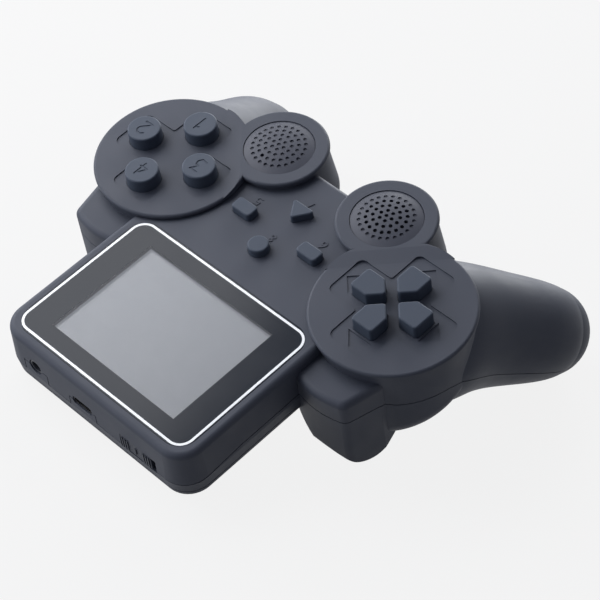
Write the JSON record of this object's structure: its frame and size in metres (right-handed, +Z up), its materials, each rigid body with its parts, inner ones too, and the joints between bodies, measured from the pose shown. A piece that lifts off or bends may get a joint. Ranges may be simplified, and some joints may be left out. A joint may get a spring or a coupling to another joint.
{
  "type": "handheld game console",
  "caption": "Handheld game console with a screen block at its front edge, two round key fields, two speaker pods, shoulder lobes and two hand grips.",
  "frame": {"origin": "on the table, under the middle of the console's bounding box, with the console standing on the undersides of its two grips and two shoulder lobes", "axes": "+X to the player's right, +Y from the grips towards the edge with the sockets, +Z up from the table; the deck leans 16.6 degrees down towards the screen's edge"},
  "size_m": [0.1464, 0.1368, 0.0509],
  "materials": {
    "casing": "fine matte texture, charcoal",
    "keys": "matte, slightly bluer than the casing",
    "lens": "clear sheet printed dark round the display, with a white line",
    "display": "grey unlit display",
    "ribbon": "amber polyimide",
    "foam": "closed-cell foam",
    "board": "green circuit board",
    "chip": "moulded chip",
    "knob": "ribbed",
    "socket_steel": "pressed sheet",
    "jack_plastic": "moulded",
    "speaker_body": "black basket",
    "battery_can": "plain sleeve",
    "contact_brass": "gold plated",
    "screw_steel": "zinc plated, dark",
    "membrane": "translucent silicone"
  },
  "bodies": {
    "console": {"front_casing": "casing", "rear_casing": "casing", "face_key_plate": "casing", "arrow_key_plate": "casing", "speaker_grille": "casing", "closed_grille": "casing", "screen_lens": "lens", "lcd_panel": "display", "lcd_ribbon": "ribbon", "lcd_cushions": "foam", "main_board": "board", "game_chip": "chip", "memory_chip": "chip", "power_switch_body": "socket_steel", "usb_socket": "socket_steel", "av_jack": "jack_plastic", "speaker": "speaker_body", "battery": "battery_can", "battery_contacts": "contact_brass", "battery_door": "casing", "door_screw": "screw_steel", "rear_screws": "screw_steel", "board_screws": "screw_steel", "face_membrane": "membrane", "arrow_membrane": "membrane", "small_membrane": "membrane"},
    "face_key_1_body": {"face_key_1": "keys"},
    "face_key_2_body": {"face_key_2": "keys"},
    "face_key_3_body": {"face_key_3": "keys"},
    "face_key_4_body": {"face_key_4": "keys"},
    "right_arrow_key_body": {"right_arrow_key": "keys"},
    "up_arrow_key_body": {"up_arrow_key": "keys"},
    "left_arrow_key_body": {"left_arrow_key": "keys"},
    "down_arrow_key_body": {"down_arrow_key": "keys"},
    "right_oblong_key_body": {"right_oblong_key": "keys"},
    "left_oblong_key_body": {"left_oblong_key": "keys"},
    "wedge_key_body": {"wedge_key": "keys"},
    "round_small_key_body": {"round_small_key": "keys"},
    "power_switch": {"power_switch_knob": "knob", "power_switch_lever": "knob"}
  },
  "joints": [
    {"name": "face_key_1_press", "type": "slide", "parent": "console", "child": "face_key_1_body", "axis": [0, -0.287, -0.9579], "range_m": [0, 0.0012], "stiffness_N_per_m": 300, "springref_m": -0.001},
    {"name": "face_key_2_press", "type": "slide", "parent": "console", "child": "face_key_2_body", "axis": [0, -0.287, -0.9579], "range_m": [0, 0.0012], "stiffness_N_per_m": 300, "springref_m": -0.001},
    {"name": "face_key_3_press", "type": "slide", "parent": "console", "child": "face_key_3_body", "axis": [0, -0.287, -0.9579], "range_m": [0, 0.0012], "stiffness_N_per_m": 300, "springref_m": -0.001},
    {"name": "face_key_4_press", "type": "slide", "parent": "console", "child": "face_key_4_body", "axis": [0, -0.287, -0.9579], "range_m": [0, 0.0012], "stiffness_N_per_m": 300, "springref_m": -0.001},
    {"name": "right_arrow_key_press", "type": "slide", "parent": "console", "child": "right_arrow_key_body", "axis": [0, -0.287, -0.9579], "range_m": [0, 0.0012], "stiffness_N_per_m": 300, "springref_m": -0.001},
    {"name": "up_arrow_key_press", "type": "slide", "parent": "console", "child": "up_arrow_key_body", "axis": [0, -0.287, -0.9579], "range_m": [0, 0.0012], "stiffness_N_per_m": 300, "springref_m": -0.001},
    {"name": "left_arrow_key_press", "type": "slide", "parent": "console", "child": "left_arrow_key_body", "axis": [0, -0.287, -0.9579], "range_m": [0, 0.0012], "stiffness_N_per_m": 300, "springref_m": -0.001},
    {"name": "down_arrow_key_press", "type": "slide", "parent": "console", "child": "down_arrow_key_body", "axis": [0, -0.287, -0.9579], "range_m": [0, 0.0012], "stiffness_N_per_m": 300, "springref_m": -0.001},
    {"name": "right_oblong_key_press", "type": "slide", "parent": "console", "child": "right_oblong_key_body", "axis": [0, -0.287, -0.9579], "range_m": [0, 0.0012], "stiffness_N_per_m": 300, "springref_m": -0.001},
    {"name": "left_oblong_key_press", "type": "slide", "parent": "console", "child": "left_oblong_key_body", "axis": [0, -0.287, -0.9579], "range_m": [0, 0.0012], "stiffness_N_per_m": 300, "springref_m": -0.001},
    {"name": "wedge_key_press", "type": "slide", "parent": "console", "child": "wedge_key_body", "axis": [0, -0.287, -0.9579], "range_m": [0, 0.0012], "stiffness_N_per_m": 300, "springref_m": -0.001},
    {"name": "round_small_key_press", "type": "slide", "parent": "console", "child": "round_small_key_body", "axis": [0, -0.287, -0.9579], "range_m": [0, 0.0012], "stiffness_N_per_m": 300, "springref_m": -0.001},
    {"name": "power_switch_slide", "type": "slide", "parent": "console", "child": "power_switch", "axis": [-1, 0, 0], "range_m": [0, 0.002]}
  ]
}
